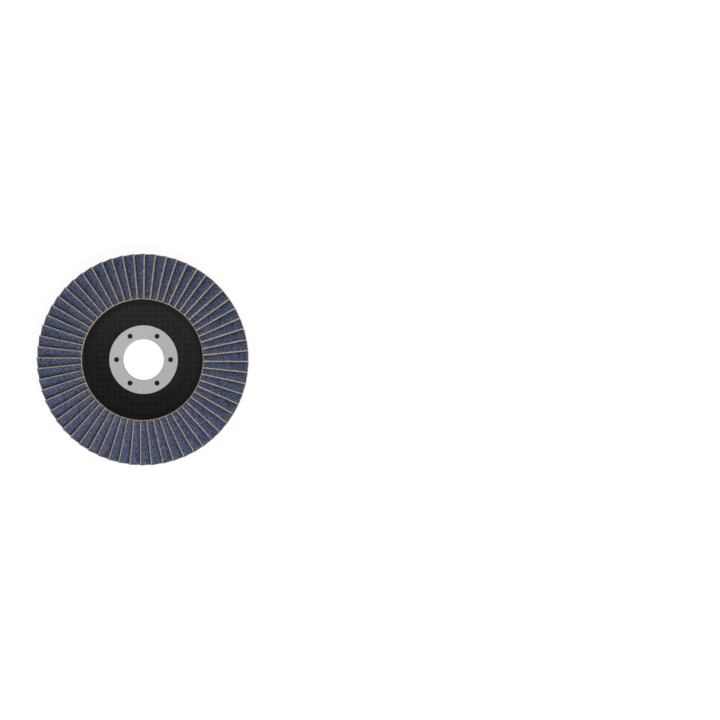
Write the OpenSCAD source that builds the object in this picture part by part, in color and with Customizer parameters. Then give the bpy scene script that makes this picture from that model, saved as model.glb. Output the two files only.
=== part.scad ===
/* [Overall] */
// Outside diameter over the free corners of the flaps
outer_d = 115; // [95:1:150]
// Diameter of the hole for the grinder's spindle flange
bore_d = 22.23; // [18:0.01:25.4]
// Slope of the working face, down towards the rim
cone_angle = 9; // [6:1:11]

/* [Flaps] */
// Number of flaps, an even number
flap_count = 60; // [50:2:72]
// Diameter of the circle where the tops of the flaps begin
flap_ring_d = 66; // [62:0.5:80]
// Width of one flap, from its root to its free edge
flap_w = 13; // [10:0.5:16]
// Thickness of the coated cloth
flap_t = 1.2; // [0.8:0.05:1.5]
// Room between two flaps where they lie closest
flap_gap = 0.2; // [0.1:0.05:0.5]
// How much flatter a flap lies at its free edge than at its root
flap_curl = 13; // [8:1:18]
// How far the free edge lies past the radial line of its flap
edge_offset = 1.15; // [0:0.05:2]
// Turn of the first flap from the Y axis
first_turn = 0; // [0:0.1:6]

/* [Backing plate] */
// Thickness of the laminate
plate_t = 3; // [2:0.1:4]
// How far the flaps reach past the rim of the plate
plate_overhang = 4; // [2:0.5:8]
// Diameter of the flat hub
hub_d = 43; // [41:0.5:46]
// Height of the back of the rim over the back of the hub
rim_lift = 0.5; // [0:0.1:1.5]
// Slope of the wall around the hub
wall_angle = 38; // [30:1:50]
// Radius of the two bends, at the middle of the laminate
bend_r = 4.5; // [3:0.1:5]
// Bevel around the rim
rim_bevel = 0.4; // [0.2:0.1:0.8]

/* [Centre ring] */
// Diameter of the flange
flange_d = 37.5; // [34:0.5:40]
// Thickness of the steel
steel_t = 0.5; // [0.4:0.05:0.8]
// Bevel that the punch leaves around the flange
flange_bevel = 0.15; // [0.05:0.05:0.25]
// Radius at the mouth of the hole
mouth_r = 0.6; // [0.5:0.05:1]
// Depth of the flare in the back of the plate
flare_h = 0.7; // [0.5:0.1:1.2]
// Height of the rim of the flare over the back of the hub
flare_lift = 0.2; // [0.1:0.05:0.4]
// Number of small holes pierced through the flange
pierced_count = 6; // [3:1:8]
// Diameter of the pierced holes
pierced_d = 2.7; // [1.5:0.1:2.8]
// Diameter of the circle of pierced holes
pierced_ring_d = 29.4; // [28:0.1:31]
// Depth of the burr that each pierced hole presses into the plate
burr_h = 0.7; // [0.4:0.1:1]
// Width of the burr at its foot
burr_w = 0.35; // [0.2:0.05:0.45]

/* [Adhesive] */
// Thickness of the adhesive bed
bed_t = 2.4; // [1.8:0.1:3]
// Adhesive left under the roots of the flaps
bed_floor = 0.4; // [0.3:0.1:0.8]
// Distance of the bed from the rim of the plate
bed_rim_gap = 0.9; // [0.5:0.1:2]
// Distance of the bed from the inner corners of the roots
bed_inset = 0.3; // [0.2:0.1:1]
// Width of the rounded shoulder of the bed
bed_shoulder = 0.8; // [0.5:0.1:1.2]

/* [Hidden] */
ROUND_FN = 96;
BEND_FN = 720;
ARC_STEPS = 8;
OVERCUT = 1;

// Flaps: the tilt at the free edge comes from how tightly the inner ends pack
flap_step = 360 / flap_count;
inner_pitch = flap_ring_d / 2 * sin(flap_step);
edge_tilt = asin((flap_t + flap_gap) / inner_pitch);
root_tilt = edge_tilt + flap_curl;
flap_r = flap_w / (flap_curl * PI / 180);
grit_r = flap_r + flap_t / 2;
cloth_r = flap_r - flap_t / 2;
flap_shift = [edge_offset + flap_r * sin(edge_tilt), bed_floor - cloth_r * cos(root_tilt)];
flap_top = flap_shift[1] + grit_r * cos(edge_tilt);
root_side = flap_shift[0] - flap_r * sin(root_tilt);

// Cone frame: the slope runs outwards and down, the normal stands up from it
slope_dir = [cos(cone_angle), -sin(cone_angle)];
slope_up = [sin(cone_angle), cos(cone_angle)];
plate_r = outer_d / 2 - plate_overhang;
flap_foot_r = flap_ring_d / 2 - flap_top * sin(cone_angle);
cone_rise = (plate_r - flap_foot_r) * tan(cone_angle);
cone_foot = [flap_foot_r, rim_lift + plate_t / cos(cone_angle) + cone_rise];

// Flap length: of its two outer corners, the one that reaches the outside diameter first
function corner_run(tilt) =
    let (corner = flap_shift + grit_r * [-sin(tilt), cos(tilt)],
         reach = sqrt(pow(outer_d / 2, 2) - pow(corner[0], 2)))
    (reach - flap_foot_r - corner[1] * sin(cone_angle)) / cos(cone_angle);
flap_l = min(corner_run(edge_tilt), corner_run(root_tilt));

// Plate: the middle line of the laminate is flat, bends up, and bends over to the cone
half_t = plate_t / 2;
hub_bend = [hub_d / 2, half_t + bend_r];
hub_bend_end = hub_bend + bend_r * [sin(wall_angle), -cos(wall_angle)];
cone_mid = cone_foot - half_t * slope_up;
crest_offset = bend_r * [sin(wall_angle), -cos(wall_angle)];
wall_l = (-bend_r - (hub_bend_end + crest_offset - cone_mid) * slope_up)
    / sin(wall_angle + cone_angle);
crest_bend = hub_bend_end + wall_l * [cos(wall_angle), sin(wall_angle)] + crest_offset;
rim_run = (plate_r - cone_foot[0]) / cos(cone_angle);

// Centre ring: the collar fills the hole in the plate and flares out in its back
bore_r = bore_d / 2;
collar_r = bore_r + steel_t;
ring_top = plate_t + steel_t;
flare_start = flare_lift + flare_h;
flare_back = flare_start - steel_t * tan(22.5);

FLAP_PAIRS = [for (i = [1:flap_count / 2]) str("flap_pair_", i < 10 ? "0" : "", i)];

// Points of an arc from one angle to another
function arc(center, r, from, to) =
    [for (i = [0:ARC_STEPS]) center + r * [cos(from + (to - from) * i / ARC_STEPS),
                                           sin(from + (to - from) * i / ARC_STEPS)]];

// Point on the cone: a run down the slope, and a height over the face of the plate
function on_cone(run, height) = cone_foot + run * slope_dir + height * slope_up;

// Front of the plate, from the hub out to the rim
function plate_front() = concat(
    arc(hub_bend, bend_r - half_t, -90, -90 + wall_angle),
    arc(crest_bend, bend_r + half_t, 90 + wall_angle, 90 - cone_angle),
    [on_cone(rim_run - rim_bevel, 0), on_cone(rim_run, -rim_bevel)]);

// Back of the plate, from the rim in to the hub
function plate_back() = concat(
    [on_cone(rim_run, rim_bevel - plate_t), on_cone(rim_run - rim_bevel, -plate_t)],
    arc(crest_bend, bend_r - half_t, 90 - cone_angle, 90 + wall_angle),
    arc(hub_bend, bend_r + half_t, -90 + wall_angle, -90));

// Section of the plate, with the seat for the flared collar at its hole
module plate_section() {
    seat = [[collar_r + flare_back, 0], [collar_r, flare_back], [collar_r, plate_t]];
    polygon(concat(plate_front(), plate_back(), seat));
}

// Section of the steel ring: flange, rounded mouth, collar and flare
module ring_section() {
    mouth = arc([bore_r + mouth_r, ring_top - mouth_r], mouth_r, 90, 180);
    flare = [[bore_r, flare_start], [bore_r + flare_h, flare_lift],
             [collar_r + flare_back - flare_lift, flare_lift], [collar_r, flare_back]];
    flange = [[collar_r, plate_t], [flange_d / 2, plate_t],
              [flange_d / 2, ring_top - flange_bevel], [flange_d / 2 - flange_bevel, ring_top]];
    polygon(concat(mouth, flare, flange));
}

// Burr around one pierced hole: it grows out of the flange and bites into the plate
module burr() {
    pierced_r = pierced_d / 2;
    neck_top = plate_t + steel_t / 2;
    rotate_extrude($fn = ROUND_FN)
        polygon([[pierced_r, neck_top], [pierced_r + burr_w, neck_top],
                 [pierced_r + burr_w, plate_t], [pierced_r + burr_w / 3, plate_t - burr_h],
                 [pierced_r, plate_t - burr_h]]);
}

// Places its child at every pierced hole
module at_pierced_holes() {
    for (i = [0:pierced_count - 1])
        rotate(i * 360 / pierced_count)
            translate([pierced_ring_d / 2, 0])
                children();
}

// Section of one flap: a bent strip, steep at its root and flatter at its free edge
module flap_section() {
    reach = 2 * grit_r;
    intersection() {
        difference() {
            circle(grit_r, $fn = BEND_FN);
            circle(cloth_r, $fn = BEND_FN);
        }
        polygon([[0, 0], reach * [-sin(root_tilt), cos(root_tilt)],
                 reach * [-sin(edge_tilt), cos(edge_tilt)]]);
    }
}

// One flap in its place on the cone, counted clockwise from the Y axis
module flap(index) {
    rotate(first_turn - index * flap_step)
        translate([0, cone_foot[0], cone_foot[1]])
            rotate([90 - cone_angle, 0, 0])
                translate([flap_shift[0], flap_shift[1], -flap_l])
                    linear_extrude(flap_l)
                        flap_section();
}

// Section of the adhesive bed, with rounded shoulders
module bed_section() {
    bed_in_r = norm([flap_foot_r, root_side]) + bed_inset;
    run_in = (bed_in_r - flap_foot_r) / cos(cone_angle);
    run_out = rim_run - bed_rim_gap;
    polygon([on_cone(run_in, 0), on_cone(run_in, bed_t - bed_shoulder),
             on_cone(run_in + bed_shoulder / 3, bed_t - bed_shoulder / 3),
             on_cone(run_in + bed_shoulder, bed_t), on_cone(run_out - bed_shoulder, bed_t),
             on_cone(run_out - bed_shoulder / 3, bed_t - bed_shoulder / 3),
             on_cone(run_out, bed_t - bed_shoulder), on_cone(run_out, 0)]);
}

module backing_plate() {
    color("#1e1e1e")
        difference() {
            rotate_extrude($fn = ROUND_FN) plate_section();
            at_pierced_holes() burr();
        }
}

module center_ring() {
    color("#b2b1b1")
        difference() {
            union() {
                rotate_extrude($fn = ROUND_FN) ring_section();
                at_pierced_holes() burr();
            }
            at_pierced_holes()
                translate([0, 0, plate_t - burr_h - OVERCUT])
                    cylinder(d = pierced_d, h = burr_h + steel_t + 2 * OVERCUT, $fn = ROUND_FN);
        }
}

module adhesive_bed() {
    color("#2b2a28")
        difference() {
            rotate_extrude($fn = ROUND_FN) bed_section();
            for (i = [0:flap_count - 1]) flap(i);
        }
}

module flap_pair(index) {
    color("#474f63") {
        flap(2 * index);
        flap(2 * index + 1);
    }
}

backing_plate();
center_ring();
adhesive_bed();
for (i = [0:flap_count / 2 - 1])
    flap_pair(i);
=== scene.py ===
import math
import random

import bmesh
import bpy
from mathutils import Matrix, Vector, noise


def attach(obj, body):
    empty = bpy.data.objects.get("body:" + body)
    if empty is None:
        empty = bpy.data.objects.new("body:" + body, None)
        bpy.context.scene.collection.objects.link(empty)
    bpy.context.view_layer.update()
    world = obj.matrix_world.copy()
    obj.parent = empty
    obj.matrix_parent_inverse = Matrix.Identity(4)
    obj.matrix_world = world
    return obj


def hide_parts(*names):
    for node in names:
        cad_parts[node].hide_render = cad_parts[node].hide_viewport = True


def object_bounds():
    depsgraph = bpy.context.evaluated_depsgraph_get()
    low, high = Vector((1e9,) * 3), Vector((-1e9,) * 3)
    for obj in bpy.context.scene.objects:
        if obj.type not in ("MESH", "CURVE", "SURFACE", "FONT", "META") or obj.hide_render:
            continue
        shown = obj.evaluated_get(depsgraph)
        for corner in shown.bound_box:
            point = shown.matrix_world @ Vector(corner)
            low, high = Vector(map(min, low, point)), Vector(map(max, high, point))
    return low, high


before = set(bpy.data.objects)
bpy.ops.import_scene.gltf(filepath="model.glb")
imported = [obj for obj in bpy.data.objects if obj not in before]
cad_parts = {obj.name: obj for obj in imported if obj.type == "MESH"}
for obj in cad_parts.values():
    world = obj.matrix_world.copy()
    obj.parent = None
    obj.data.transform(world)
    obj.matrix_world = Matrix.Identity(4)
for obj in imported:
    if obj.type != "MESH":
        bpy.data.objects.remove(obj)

cad_box = [list(corner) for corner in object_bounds()]


# Backing plate: a glass mesh soaked in black resin, pressed and cured as one shallow dish. Its hub is
# flat, a wall climbs from the hub, and the flaps stand on the cone behind the wall. The strands of the
# mesh show through the resin on both faces. Its colour carries painted light: it is lighter towards
# one side, and lighter on the front just inside the flaps, where the flaps shade it.
plate_t = 0.003
plate_r = 0.0535
hub_r = 0.0215
rim_lift = 0.0005
cone_angle = math.radians(9)
wall_angle = math.radians(38)
bend_r = 0.0045
rim_round = 0.0004
weld_reach = 1e-7
collar_r = 0.011615
collar_seat = 0.0007
flange_r = 0.01875
covered_from_r = 0.0336
plate_steps = 560
bend_steps = 6
fine_step = 0.00036
back_step = 1.5 * fine_step
coarse_step = 0.0016
mesh_pitch = 0.00317
mesh_shift = 0.00114
mesh_depth = 0.00012
strand_edge = -0.2
strand_over = 0.25
front_sunk, back_sunk = 0.6, 1.25
ripple_scale, ripple_share = 450, 0.25
edge_fade = 0.0006
resin_black = (0.0058, 0.0058, 0.0060, 1)
strand_grey = (0.0162, 0.0162, 0.0165, 1)
# Painted light: lighter resin and strand colours for one side of the plate, a lighter grey for the front just
# inside the flaps, where the flaps shade it, and where these lie.
resin_painted_lit = (0.0194, 0.0194, 0.0197, 1)
strand_painted_lit = (0.0318, 0.0318, 0.0322, 1)
painted_light_grey = (0.045, 0.045, 0.0455, 1)
painted_light_way = (0.62, 0.785, 0)
painted_light_blend = 0.03
painted_light_from_r, painted_light_full_r = 0.0305, 0.0335
painted_light_from_z, painted_light_full_z = 0.0055, 0.0065
painted_light_share = 0.6
pore_scale = 2000
pore_share = 0.68
cloud_scale = 160
filament_scale = 5200
filament_depth = 0.00006
filament_roughness = (-0.05, 0.07)
window_roughness = 0.5
strand_roughness = 0.58
resin_specular = 0.08


def cone_height(radius, lift):
    """Height of a cone surface that lies a lift over the floor at the rim of the plate."""
    return lift + (plate_r - radius) * math.tan(cone_angle)


def face_corners(face_z, hub_bend_r, cone_lift):
    """Where hub, wall and cone of one face would meet without their bends."""
    hub_x = hub_r + hub_bend_r * math.tan(wall_angle / 2)
    climb = math.sin(wall_angle) + math.cos(wall_angle) * math.tan(cone_angle)
    wall_run = (cone_height(hub_x, cone_lift) - face_z) / climb
    crest_x = hub_x + wall_run * math.cos(wall_angle)
    return (hub_x, face_z), (crest_x, face_z + wall_run * math.sin(wall_angle))


def add_node(tree, kind, inputs=None, **options):
    """Adds a shader node, sets its options, and sets or links its inputs."""
    made = tree.nodes.new(kind)
    for option, value in options.items():
        setattr(made, option, value)
    for name, value in (inputs or {}).items():
        if isinstance(value, bpy.types.NodeSocket):
            tree.links.new(value, made.inputs[name])
        else:
            made.inputs[name].default_value = value
    return made


def new_finish(name):
    """A material with its node tree and its main shader."""
    finish = bpy.data.materials.new(name)
    finish.use_nodes = True
    return finish, finish.node_tree, finish.node_tree.nodes["Principled BSDF"]


def mixed(tree, share, first, second):
    """Colour that goes from the first to the second as the share goes from 0 to 1."""
    mix = add_node(tree, "ShaderNodeMix", {0: share, 6: first, 7: second}, data_type="RGBA")
    return mix.outputs[2]


def ramped(tree, value, low, high, to_low=0.0, to_high=1.0):
    """Value from to_low to to_high as another goes smoothly from low to high."""
    made = add_node(tree, "ShaderNodeMapRange",
                    {0: value, 1: low, 2: high, 3: to_low, 4: to_high}, interpolation_type="SMOOTHSTEP")
    return made.outputs[0]


def math_of(tree, operation, first, second=0.0):
    """Result of one sum on two values."""
    return add_node(tree, "ShaderNodeMath", {0: first, 1: second}, operation=operation).outputs[0]


def distance_along(tree, place, way):
    """How far a place lies from the axis in one direction."""
    made = add_node(tree, "ShaderNodeVectorMath", {0: place, 1: way}, operation="DOT_PRODUCT")
    return made.outputs["Value"]


def length_of(tree, vector):
    """Length of a vector."""
    return add_node(tree, "ShaderNodeVectorMath", {0: vector}, operation="LENGTH").outputs["Value"]


def specks(tree, place, per_metre, detail=2.0, roughness=0.5):
    """Soft random pattern with so many lumps to the metre."""
    made = add_node(tree, "ShaderNodeTexNoise",
                    {"Vector": place, "Scale": per_metre, "Detail": detail, "Roughness": roughness})
    return made.outputs["Fac"]


def finish_object(name, shape, finishes):
    """Object at the origin from a bmesh, smooth, with its finishes in order."""
    mesh = bpy.data.meshes.new(name)
    shape.to_mesh(mesh)
    shape.free()
    for finish in finishes:
        mesh.materials.append(finish)
    for polygon in mesh.polygons:
        polygon.use_smooth = True
    made = bpy.data.objects.new(name, mesh)
    bpy.context.scene.collection.objects.link(made)
    return made


def strand_height(along_x, along_y):
    """Relief of the woven mesh: 0 in a window, 1 on top of a crossing strand."""
    turn_x = math.pi * (along_x + mesh_shift) / mesh_pitch
    turn_y = math.pi * along_y / mesh_pitch
    over = math.cos(turn_x) * math.cos(turn_y)
    warp = max(0.0, (math.cos(2 * turn_x) - strand_edge) / (1 - strand_edge))
    weft = max(0.0, (math.cos(2 * turn_y) - strand_edge) / (1 - strand_edge))
    level = 1 - strand_over
    return max(math.sqrt(warp) * (level + strand_over * over), math.sqrt(weft) * (level - strand_over * over))


plate = bmesh.new()
front_bend, back_bend = bend_r - plate_t / 2, bend_r + plate_t / 2
front_lift = rim_lift + plate_t / math.cos(cone_angle)
front_hub, front_crest = face_corners(plate_t, front_bend, front_lift)
back_hub, back_crest = face_corners(0, back_bend, rim_lift)
front_rim = (plate_r, front_lift)
back_rim = (plate_r - plate_t * math.sin(cone_angle), front_lift - plate_t * math.cos(cone_angle))
outline = [(collar_r, plate_t), (flange_r, plate_t), front_hub, front_crest,
           (covered_from_r, cone_height(covered_from_r, front_lift)), front_rim,
           back_rim, back_crest, back_hub, (collar_r + collar_seat, 0), (collar_r, collar_seat)]
corners = [plate.verts.new((x, 0, z)) for x, z in outline]
for start, end in zip(corners, corners[1:] + corners[:1]):
    plate.edges.new((start, end))
hub_turn, crest_turn = math.tan(wall_angle / 2), math.tan((wall_angle + cone_angle) / 2)
roundings = [(corners[2], front_bend * hub_turn), (corners[3], back_bend * crest_turn),
             (corners[5], rim_round), (corners[6], rim_round),
             (corners[7], front_bend * crest_turn), (corners[8], back_bend * hub_turn)]
for corner, tangent in roundings:
    bmesh.ops.bevel(plate, geom=[corner], offset=tangent, offset_type="OFFSET", segments=bend_steps,
                    profile=0.5, affect="VERTICES", material=-1)
for edge in plate.edges[:]:
    middle = (edge.verts[0].co + edge.verts[1].co) / 2
    under_flange = middle.x < flange_r and middle.z > plate_t / 2
    under_bed = middle.x > covered_from_r and middle.z > cone_height(middle.x, front_lift / 2)
    step = coarse_step if under_flange or under_bed else fine_step
    if middle.z < cone_height(middle.x, front_lift / 2) and middle.x > hub_r:
        step = back_step
    cuts = int(edge.calc_length() / step)
    if cuts:
        bmesh.ops.subdivide_edges(plate, edges=[edge], cuts=cuts)
bmesh.ops.spin(plate, geom=plate.verts[:] + plate.edges[:], cent=(0, 0, 0), axis=(0, 0, 1),
               dvec=(0, 0, 0), angle=2 * math.pi, steps=plate_steps, use_merge=True)
bmesh.ops.remove_doubles(plate, verts=plate.verts[:], dist=weld_reach)
bmesh.ops.recalc_face_normals(plate, faces=plate.faces[:])
plate.normal_update()
strand_layer = plate.verts.layers.float.new("strand")
for vert in plate.verts:
    radius = math.hypot(vert.co.x, vert.co.y)
    shown_from = flange_r if vert.co.z > plate_t / 2 and radius < hub_r else collar_r + collar_seat
    fade = min(1.0, max(0.0, min(radius - shown_from, plate_r - rim_round - radius) / edge_fade))
    height = strand_height(vert.co.x, vert.co.y)
    ripple = noise.noise(vert.co * ripple_scale) * ripple_share
    sunk = front_sunk if vert.normal.z > 0 else back_sunk
    vert[strand_layer] = height
    vert.co += vert.normal * mesh_depth * fade * (height + ripple - sunk)

resin_mesh, tree, shader = new_finish("resin_mesh")
place = add_node(tree, "ShaderNodeTexCoord").outputs["Object"]
strand = add_node(tree, "ShaderNodeAttribute", attribute_name="strand").outputs["Fac"]
filaments = specks(tree, place, filament_scale, 3.0, 0.6)
cloudy = specks(tree, place, cloud_scale)
shown_strand = math_of(tree, "MULTIPLY", ramped(tree, strand, 0.25, 0.85),
                       ramped(tree, cloudy, 0.3, 0.7, 0.6, 1))
# Painted light: the resin is painted lighter towards one side.
painted_light_side = ramped(tree, distance_along(tree, place, painted_light_way), -painted_light_blend, painted_light_blend)
painted_shade_resin = mixed(tree, shown_strand, resin_black, strand_grey)
painted_lit_resin = mixed(tree, shown_strand, resin_painted_lit, strand_painted_lit)
resin_painted_side_light = mixed(tree, painted_light_side, painted_shade_resin, painted_lit_resin)
height = add_node(tree, "ShaderNodeSeparateXYZ", {0: place}).outputs[2]
# Painted light: the front just inside the flaps is painted lighter, where the flaps shade it.
painted_light_under_flaps = math_of(tree, "MULTIPLY", ramped(tree, length_of(tree, place), painted_light_from_r, painted_light_full_r),
               ramped(tree, height, painted_light_from_z, painted_light_full_z))
resin_painted_light_near_flaps = mixed(tree, math_of(tree, "MULTIPLY", painted_light_under_flaps, painted_light_share), resin_painted_side_light, painted_light_grey)
pores = specks(tree, place, pore_scale, 3.0, 0.65)
tree.links.new(mixed(tree, ramped(tree, pores, 0.42, 0.58, 0, pore_share), resin_painted_light_near_flaps, resin_black),
               shader.inputs["Base Color"])
worn = math_of(tree, "ADD", ramped(tree, filaments, 0.3, 0.7, *filament_roughness),
               ramped(tree, strand, 0.2, 0.9, window_roughness, strand_roughness))
tree.links.new(worn, shader.inputs["Roughness"])
shader.inputs["Specular IOR Level"].default_value = resin_specular
grain = add_node(tree, "ShaderNodeBump",
                 {"Strength": 0.35, "Distance": filament_depth, "Height": filaments})
tree.links.new(grain.outputs[0], shader.inputs["Normal"])

plate_piece = finish_object("pressed_plate", plate, [resin_mesh])
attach(plate_piece, "root")
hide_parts("backing_plate")


# Centre ring: bright steel sheet, pressed into a collar with a flat flange and pierced six times. The
# sheet keeps the fine straight grain of the rolling mill, under the dull shine of its plating, and is
# duller at the mouth, where it was drawn. Its colour is painted lighter towards one side, as painted
# light.
steel_grey = (0.467, 0.457, 0.459, 1)
steel_dark = (0.374, 0.366, 0.371, 1)
# Painted light: lighter steel colours for one side of the flange, and where that side lies.
steel_painted_lit = (0.506, 0.500, 0.491, 1)
steel_painted_lit_dull = (0.406, 0.401, 0.398, 1)
steel_drawn = (0.435, 0.432, 0.429, 1)
painted_light_ring_way = (-0.5, 0.866, 0)
painted_light_ring_from, painted_light_ring_full = -0.012, 0.022
mill_stretch = (260, 7000, 700)
mill_roughness = (0.3, 0.4)
scratch_depth = 0.00002
dull_scale = 1950
dull_roughness = 0.05
drawn_r, flat_from_r = 0.0113, 0.0119
drawn_dulling = 0.22
pressed_edge_r = 0.00025
pressed_edge_samples = 6

plated_steel, tree, shader = new_finish("plated_steel")
place = add_node(tree, "ShaderNodeTexCoord").outputs["Object"]
rolled = add_node(tree, "ShaderNodeMapping", {"Vector": place, "Scale": mill_stretch}).outputs[0]
mill_grain = specks(tree, rolled, 1, 3.0, 0.6)
dull = specks(tree, place, dull_scale, 3.0, 0.65)
dullness = ramped(tree, dull, 0.38, 0.62)
# Painted light: the steel is painted lighter towards one side.
painted_ring_light = ramped(tree, distance_along(tree, place, painted_light_ring_way), painted_light_ring_from, painted_light_ring_full)
flat_steel = mixed(tree, painted_ring_light, mixed(tree, dullness, steel_grey, steel_dark),
                   mixed(tree, dullness, steel_painted_lit, steel_painted_lit_dull))
flat_place = add_node(tree, "ShaderNodeVectorMath", {0: place, 1: (1, 1, 0)}, operation="MULTIPLY")
drawn = ramped(tree, length_of(tree, flat_place.outputs[0]), drawn_r, flat_from_r, 1, 0)
tree.links.new(mixed(tree, drawn, flat_steel, steel_drawn), shader.inputs["Base Color"])
shader.inputs["Metallic"].default_value = 1
shine = math_of(tree, "ADD", ramped(tree, mill_grain, 0.25, 0.75, *mill_roughness),
                ramped(tree, dull, 0.3, 0.7, 0, dull_roughness))
shine = math_of(tree, "ADD", shine, math_of(tree, "MULTIPLY", drawn, drawn_dulling))
tree.links.new(shine, shader.inputs["Roughness"])
pressed_edge = add_node(tree, "ShaderNodeBevel", {"Radius": pressed_edge_r}, samples=pressed_edge_samples)
scratch = add_node(tree, "ShaderNodeBump", {"Strength": 0.12, "Distance": scratch_depth,
                                            "Height": mill_grain, "Normal": pressed_edge.outputs[0]})
tree.links.new(scratch.outputs[0], shader.inputs["Normal"])
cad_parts["center_ring"].material_slots[0].material = plated_steel


# Adhesive bed: a ring of thick resin, spread on the cone and set hard round the roots of the flaps.
# It shows as a dark lumpy line between the flaps and the rim of the plate.
bed_black = (0.012, 0.011, 0.010, 1)
bed_brown = (0.026, 0.023, 0.020, 1)
bed_roughness = 0.42
lump_scale = 700
lump_depth = 0.0004

bed_resin, tree, shader = new_finish("bed_resin")
place = add_node(tree, "ShaderNodeTexCoord").outputs["Object"]
lumps = specks(tree, place, lump_scale, 3.0, 0.55)
tree.links.new(mixed(tree, ramped(tree, lumps, 0.3, 0.7), bed_black, bed_brown), shader.inputs["Base Color"])
shader.inputs["Roughness"].default_value = bed_roughness
spread = add_node(tree, "ShaderNodeBump", {"Strength": 0.8, "Distance": lump_depth, "Height": lumps})
tree.links.new(spread.outputs[0], shader.inputs["Normal"])
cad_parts["adhesive_bed"].material_slots[0].material = bed_resin


# Flaps: sixty rectangles of stiff cloth with a coat of blue zirconia grit, sheared from the roll, so
# that a narrow margin of the cloth is bare along the cuts. They are fanned round the cone, each over
# the next, and their roots stand in the adhesive.
flap_count = 60
flap_w = 0.013
flap_t = 0.0012
cloth_t = 0.00095
flap_gap = 0.0002
flap_curl = math.radians(13)
flap_ring_r = 0.033
edge_offset = 0.00115
bed_floor = 0.0004
outer_r = cad_box[1][1]
edge_margin = 0.00026
inner_margin = 0.00023
outer_margin = 0.00022
shown_w = 0.0074
grit_step = 0.00035
hidden_step = 0.0013
coat_from, coat_full = 0.85, 1.35
make_coat = 0.12
hidden_coat = 0.8
grit_relief = 0.00008
grit_spread, grit_waves = 1.2, 0.3
grit_wave_scale = 800
edge_waver, edge_waver_reach = 0.00004, 0.0012
end_waver, end_waver_reach = 0.00005, 0.001
waver_scale, waver_depth_scale = 900, 300
noise_shift_x, noise_shift_y = 3.7, 1.3
tiny = 1e-6
play_seed = 60
spacing_play = math.radians(0.13)
tilt_play = math.radians(0.25)
length_play = 0.0025
coat_index, back_index, cut_index = 0, 1, 2

flap_step = 2 * math.pi / flap_count
edge_tilt = math.asin((flap_t + flap_gap) / (flap_ring_r * math.sin(flap_step)))
root_tilt = edge_tilt + flap_curl
flap_r = flap_w / flap_curl
shift_x = edge_offset + flap_r * math.sin(edge_tilt)
shift_y = bed_floor - (flap_r - flap_t / 2) * math.cos(root_tilt)
flap_top = shift_y + (flap_r + flap_t / 2) * math.cos(edge_tilt)
foot_r = flap_ring_r - flap_top * math.sin(cone_angle)
foot_z = cone_height(foot_r, front_lift)
corner_side = edge_offset - flap_t / 2 * math.sin(edge_tilt)
corner_reach = math.sqrt(outer_r ** 2 - corner_side ** 2)
flap_l = (corner_reach - foot_r - flap_top * math.sin(cone_angle)) / math.cos(cone_angle)


def even_lines(start, end, step):
    """Distances at an even step from one to another, both included."""
    count = round((end - start) / step)
    return [start + (end - start) * i / count for i in range(count + 1)]


columns = [0.0, coat_from * edge_margin] + even_lines(coat_full * edge_margin, shown_w, grit_step)
columns += even_lines(shown_w, flap_w, hidden_step)[1:]
rows = [0.0, coat_from * inner_margin]
rows += even_lines(coat_full * inner_margin, flap_l - coat_full * outer_margin, grit_step)
rows += [flap_l - coat_from * outer_margin, flap_l]
blank = bmesh.new()
bmesh.ops.create_grid(blank, x_segments=len(columns) - 1, y_segments=len(rows) - 1, size=0.5)
for vert in blank.verts:
    vert.co.x = columns[round((vert.co.x + 0.5) * (len(columns) - 1))]
    vert.co.y = rows[round((vert.co.y + 0.5) * (len(rows) - 1))]
for face in blank.faces:
    face.material_index = back_index
layer = blank.faces[:] + blank.edges[:] + blank.verts[:]
for rise, index in ((cloth_t, cut_index), (flap_t - cloth_t, coat_index)):
    before = set(blank.faces)
    layer = bmesh.ops.extrude_face_region(blank, geom=layer)["geom"]
    for face in set(blank.faces) - before:
        face.material_index = index
    raised = [part for part in layer if isinstance(part, bmesh.types.BMVert)]
    bmesh.ops.translate(blank, vec=(0, 0, rise), verts=raised)
for part in layer:
    if isinstance(part, bmesh.types.BMFace):
        part.material_index = coat_index
bmesh.ops.recalc_face_normals(blank, faces=blank.faces[:])
cut_map = blank.loops.layers.uv.new("cut")
for face in blank.faces:
    for loop in face.loops:
        loop[cut_map].uv = loop.vert.co.xy / flap_l
blank_mesh = bpy.data.meshes.new("flap_blank")
blank.to_mesh(blank_mesh)
blank.free()

grit_dark = (0.0147, 0.0222, 0.0495, 1)
grit_teal = (0.082, 0.147, 0.235, 1)
grit_violet = (0.127, 0.128, 0.259, 1)
cloth_tan = (0.595, 0.462, 0.302, 1)
cloth_brown = (0.37, 0.28, 0.188, 1)
cloth_pale = (0.80, 0.655, 0.457, 1)
soaked_dark = (0.016, 0.015, 0.015, 1)
grain_scale = 2100
clump_scale = 850
clump_share = 0.04
yarn_pitch = 0.00048
yarn_end_scale = 2600
stain_scale, back_stain_scale = 900, 240
ragged_scale = 2600
ragged_by = 0.00016
creep_scale = 380
creep_by = 0.0012
soaked_from = 0.0062
soaked_fade = 0.0007
soaked_end_fade = 1.7
back_soaked = 0.0011
grain_depth = 0.0002
bare_weave_share = 0.4
weave_depth = 0.00012
yarn_end_depth = 0.0001
grain_roughness = 0.42
cloth_roughness = 0.75
cut_roughness = 0.8
cloth_specular = 0.3
cut_specular = 0.25


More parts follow.
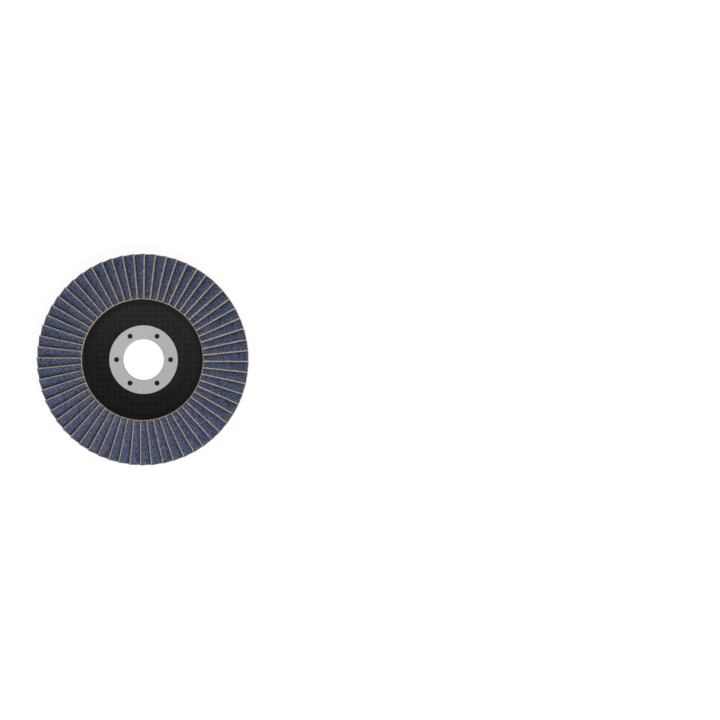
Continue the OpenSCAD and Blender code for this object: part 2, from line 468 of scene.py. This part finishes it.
def cut_distances(tree):
    """Distances in metres from the free edge and from the inner end, with a ragged waver."""
    spot = add_node(tree, "ShaderNodeUVMap", uv_map="cut").outputs[0]
    flat = add_node(tree, "ShaderNodeSeparateXYZ", {0: spot})
    place = add_node(tree, "ShaderNodeTexCoord").outputs["Object"]
    ragged = ramped(tree, specks(tree, place, ragged_scale, 3.0, 0.6), 0.2, 0.8, -ragged_by, ragged_by)
    across, along = (math_of(tree, "MULTIPLY", flat.outputs[i], flap_l) for i in (0, 1))
    return place, across, along, ragged


def soaked_share(tree, place, across, along, ragged, reach=inner_margin):
    """How far the adhesive has crept up an inner end: 1 low on the end, 0 near the free edge."""
    crept = ramped(tree, specks(tree, place, creep_scale, 3.0, 0.6), 0.25, 0.75, -creep_by, creep_by)
    on_end = ramped(tree, math_of(tree, "ADD", along, ragged), reach, soaked_end_fade * reach, 1, 0)
    low = ramped(tree, math_of(tree, "ADD", across, crept),
                 soaked_from - soaked_fade, soaked_from + soaked_fade)
    return math_of(tree, "MULTIPLY", on_end, low)


def cloth_stains(tree, place):
    """Uneven filling of the cloth: 0 where it is thick and brown, 1 where the yarns are pale."""
    return ramped(tree, specks(tree, place, stain_scale, 3.0, 0.7), 0.4, 0.6)


def woven_cloth(tree, across, along):
    """Height of the cloth: warp and weft yarns that pass over each other in turn."""
    warp_turn, weft_turn = (math_of(tree, "MULTIPLY", run, math.pi / yarn_pitch) for run in (across, along))
    warp, weft = (math_of(tree, "ABSOLUTE", math_of(tree, "COSINE", turn)) for turn in (warp_turn, weft_turn))
    over = math_of(tree, "MULTIPLY", math_of(tree, "SINE", warp_turn), math_of(tree, "SINE", weft_turn))
    return add_node(tree, "ShaderNodeMix", {0: ramped(tree, over, -0.4, 0.4), 2: warp, 3: weft}).outputs[0]


# The coat: sharp blue grains in a darker blue size, with bare tan cloth along the free edge and both
# ends.
grit_coat, tree, shader = new_finish("grit_coat")
place, across, along, ragged = cut_distances(tree)
cells = add_node(tree, "ShaderNodeTexVoronoi", {"Vector": place, "Scale": grain_scale})
grain_tone, grain_hue, _ = add_node(tree, "ShaderNodeSeparateColor", {0: cells.outputs["Color"]}).outputs
clumps = specks(tree, place, clump_scale, 3.0, 0.6)
tone = math_of(tree, "ADD", math_of(tree, "MULTIPLY", grain_tone, 1 - clump_share),
               math_of(tree, "MULTIPLY", clumps, clump_share))
grit_light = mixed(tree, ramped(tree, grain_hue, 0.2, 0.8), grit_teal, grit_violet)
standing_out = ramped(tree, cells.outputs["Distance"], 0.4, 0.8, 1, 0.3)
shade = math_of(tree, "MULTIPLY", ramped(tree, tone, 0.2, 0.8, 0.1, 1), standing_out)
grit_colour = mixed(tree, shade, grit_dark, grit_light)
weave = woven_cloth(tree, across, along)
cloth_colour = mixed(tree, ramped(tree, weave, 0.3, 1), cloth_brown,
                     mixed(tree, cloth_stains(tree, place), cloth_brown, cloth_pale))
coated = 1.0
from_outer = math_of(tree, "SUBTRACT", flap_l, along)
for distance, margin in ((across, edge_margin), (along, inner_margin), (from_outer, outer_margin)):
    from_cut = math_of(tree, "ADD", distance, ragged)
    coated = math_of(tree, "MULTIPLY", coated, ramped(tree, from_cut, margin - 0.00004, margin + 0.00008))
shown_colour = mixed(tree, coated, cloth_colour, grit_colour)
soaked = soaked_share(tree, place, across, along, ragged)
tree.links.new(mixed(tree, soaked, shown_colour, soaked_dark), shader.inputs["Base Color"])
tree.links.new(ramped(tree, math_of(tree, "MULTIPLY", coated, grain_tone), 0, 1, cloth_roughness,
                      grain_roughness), shader.inputs["Roughness"])
shader.inputs["Specular IOR Level"].default_value = cloth_specular
bare_weave = math_of(tree, "MULTIPLY", weave, bare_weave_share)
grain_height = math_of(tree, "SUBTRACT", 1.0, cells.outputs["Distance"])
heights = add_node(tree, "ShaderNodeMix", {0: coated, 2: bare_weave, 3: grain_height}).outputs[0]
bumps = add_node(tree, "ShaderNodeBump", {"Strength": 0.8, "Distance": grain_depth, "Height": heights})
tree.links.new(bumps.outputs[0], shader.inputs["Normal"])

# The back: plain polyester weave, filled with tan resin.
cloth_back, tree, shader = new_finish("cloth_back")
place, across, along, ragged = cut_distances(tree)
weave = woven_cloth(tree, across, along)
stained = specks(tree, place, back_stain_scale, 3.0, 0.6)
woven_colour = mixed(tree, ramped(tree, weave, 0.2, 1), cloth_brown, cloth_tan)
back_colour = mixed(tree, ramped(tree, stained, 0.4, 0.75, 0, 0.5), woven_colour, cloth_brown)
soaked = soaked_share(tree, place, across, along, ragged, back_soaked)
tree.links.new(mixed(tree, soaked, back_colour, soaked_dark), shader.inputs["Base Color"])
shader.inputs["Roughness"].default_value = cloth_roughness
shader.inputs["Specular IOR Level"].default_value = cloth_specular
bumps = add_node(tree, "ShaderNodeBump", {"Strength": 0.7, "Distance": weave_depth, "Height": weave})
tree.links.new(bumps.outputs[0], shader.inputs["Normal"])

# The cuts through the cloth: the ends of the yarns in their filling, and dark adhesive low on the
# inner ends.
cut_cloth, tree, shader = new_finish("cut_cloth")
place, across, along, ragged = cut_distances(tree)
yarn_cells = add_node(tree, "ShaderNodeTexVoronoi", {"Vector": place, "Scale": yarn_end_scale})
yarn_ends = yarn_cells.outputs["Distance"]
cut_colour = mixed(tree, ramped(tree, yarn_ends, 0.15, 0.75),
                   mixed(tree, cloth_stains(tree, place), cloth_tan, cloth_pale), cloth_brown)
soaked = soaked_share(tree, place, across, along, ragged)
tree.links.new(mixed(tree, soaked, cut_colour, soaked_dark), shader.inputs["Base Color"])
shader.inputs["Roughness"].default_value = cut_roughness
shader.inputs["Specular IOR Level"].default_value = cut_specular
bumps = add_node(tree, "ShaderNodeBump",
                 {"Strength": 0.6, "Distance": yarn_end_depth, "Height": yarn_ends}, invert=True)
tree.links.new(bumps.outputs[0], shader.inputs["Normal"])


def smooth_step(value, low, high):
    """Share that goes smoothly from 0 at low to 1 at high."""
    share = min(1.0, max(0.0, (value - low) / (high - low)))
    return share * share * (3 - 2 * share)


def shear_and_coat(verts, offset):
    """Gives a flat blank its wavering cuts, its bare margins and its grains."""
    for vert in verts:
        across, along, height = vert.co
        coat = 1.0
        cuts = ((across, edge_margin), (along, inner_margin), (flap_l - along, outer_margin))
        for distance, margin in cuts:
            coat *= smooth_step(distance, coat_from * margin - tiny, coat_full * margin)
        if height > cloth_t + tiny:
            rough = random.uniform(-grit_spread, grit_spread)
            rough += grit_waves * noise.noise(vert.co * grit_wave_scale + offset)
            coat *= 1 if across < shown_w else hidden_coat
            vert.co.z = cloth_t + (flap_t - cloth_t) * (make_coat + (1 - make_coat) * coat)
            vert.co.z += grit_relief * rough * coat * (across < shown_w)
        near_edge = 1 - smooth_step(across, 0, edge_waver_reach)
        near_end = smooth_step(along, flap_l - end_waver_reach, flap_l)
        along_edge = Vector((along * waver_scale, height * waver_depth_scale, 0))
        along_end = Vector((across * waver_scale, height * waver_depth_scale, 7))
        vert.co.x += edge_waver * near_edge * noise.noise(along_edge + offset)
        vert.co.y += end_waver * near_end * noise.noise(along_end + offset)


def bend_and_seat(piece, verts, index):
    """Bends a flat blank, and stands it in its place in the fan, with a little play."""
    stretch = 1 + random.uniform(-length_play, 0)
    for vert in verts:
        across, along, height = vert.co
        tilt = edge_tilt + across / flap_r
        reach = flap_r - flap_t / 2 + height
        vert.co = (shift_x - reach * math.sin(tilt), shift_y + reach * math.cos(tilt), -along * stretch)
    root = (shift_x - flap_r * math.sin(root_tilt), shift_y + flap_r * math.cos(root_tilt), 0)
    lean = Matrix.Rotation(random.uniform(-tilt_play, tilt_play), 3, "Z")
    bmesh.ops.rotate(piece, cent=root, matrix=lean, verts=verts)
    turn = -index * flap_step + random.uniform(-spacing_play, spacing_play)
    seat = Matrix.Rotation(turn, 4, "Z") @ Matrix.Translation((0, foot_r, foot_z))
    bmesh.ops.transform(piece, matrix=seat @ Matrix.Rotation(math.pi / 2 - cone_angle, 4, "X"), verts=verts)


random.seed(play_seed)
for pair in range(flap_count // 2):
    flaps = bmesh.new()
    for index in (2 * pair, 2 * pair + 1):
        first = len(flaps.verts)
        flaps.from_mesh(blank_mesh)
        flaps.verts.ensure_lookup_table()
        offset = Vector((index * noise_shift_x, index * noise_shift_y, 0))
        shear_and_coat(flaps.verts[first:], offset)
        bend_and_seat(flaps, flaps.verts[first:], index)
    bmesh.ops.recalc_face_normals(flaps, faces=flaps.faces[:])
    piece = finish_object(f"flaps_{pair + 1:02d}", flaps, [grit_coat, cloth_back, cut_cloth])
    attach(piece, "root")
    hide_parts(f"flap_pair_{pair + 1:02d}")
bpy.data.meshes.remove(blank_mesh)


# Studio: a white table, an even white sky and one soft box, seen from straight above. The table looks
# white to the camera and keeps a faint shadow, while the light it throws back is that of pale card.
floor_size = 6.0
card_white = (0.8, 0.8, 0.8, 1)
shadow_grey = (0.14, 0.14, 0.14, 1)
table_glow = 0.895
sky_level = 0.785
box_place = Vector((0.38, -0.61, 0.71))
box_size = 0.6
box_energy = 3.3
rim_plane_z = 0.0112
metres_per_px = 0.0005412
frame_px = 720
disc_centre_px = (142.55, 359.62)
camera_distance = 1.75


def seen_share(tree):
    """1 for rays that show a thing itself or its mirror image, 0 for rays that only carry its light."""
    ray = add_node(tree, "ShaderNodeLightPath")
    seen = math_of(tree, "MAXIMUM", ray.outputs["Is Camera Ray"], ray.outputs["Is Glossy Ray"])
    return math_of(tree, "MAXIMUM", seen, ray.outputs["Is Transmission Ray"])


floor_shape = bmesh.new()
bmesh.ops.create_grid(floor_shape, x_segments=1, y_segments=1, size=floor_size / 2)
bmesh.ops.translate(floor_shape, vec=(0, 0, cad_box[0][2]), verts=floor_shape.verts[:])
white_table = bpy.data.materials.new("white_table")
white_table.use_nodes = True
tree = white_table.node_tree
tree.nodes.clear()
lit_table = add_node(tree, "ShaderNodeBsdfDiffuse", {"Color": card_white}).outputs[0]
shaded = add_node(tree, "ShaderNodeBsdfDiffuse", {"Color": shadow_grey}).outputs[0]
glow = add_node(tree, "ShaderNodeEmission", {"Color": (1, 1, 1, 1), "Strength": table_glow}).outputs[0]
seen_table = add_node(tree, "ShaderNodeAddShader", {0: shaded, 1: glow}).outputs[0]
table_mix = add_node(tree, "ShaderNodeMixShader", {0: seen_share(tree), 1: lit_table, 2: seen_table})
add_node(tree, "ShaderNodeOutputMaterial", {0: table_mix.outputs[0]})
finish_object("table", floor_shape, [white_table])

sky = bpy.data.worlds.new("white_sky")
bpy.context.scene.world = sky
sky.use_nodes = True
tree = sky.node_tree
tree.nodes.clear()
level = ramped(tree, seen_share(tree), 0, 1, sky_level, 1)
even = add_node(tree, "ShaderNodeBackground", {"Color": (1, 1, 1, 1), "Strength": level})
add_node(tree, "ShaderNodeOutputWorld", {0: even.outputs[0]})

soft_box = bpy.data.lights.new("soft_box", "AREA")
soft_box.size = box_size
soft_box.energy = box_energy
box_object = bpy.data.objects.new("soft_box", soft_box)
box_object.location = box_place
box_object.rotation_mode = "QUATERNION"
box_object.rotation_quaternion = (-box_place).to_track_quat("-Z", "Y")
bpy.context.scene.collection.objects.link(box_object)

camera = bpy.data.cameras.new("camera")
camera.sensor_width = 36
camera.lens = camera.sensor_width * camera_distance / (metres_per_px * frame_px)
camera_object = bpy.data.objects.new("camera", camera)
camera_object.location = ((frame_px / 2 - disc_centre_px[0]) * metres_per_px,
                          (disc_centre_px[1] - frame_px / 2) * metres_per_px, camera_distance + rim_plane_z)
bpy.context.scene.collection.objects.link(camera_object)
bpy.context.scene.camera = camera_object
bpy.context.scene.view_settings.view_transform = "Standard"
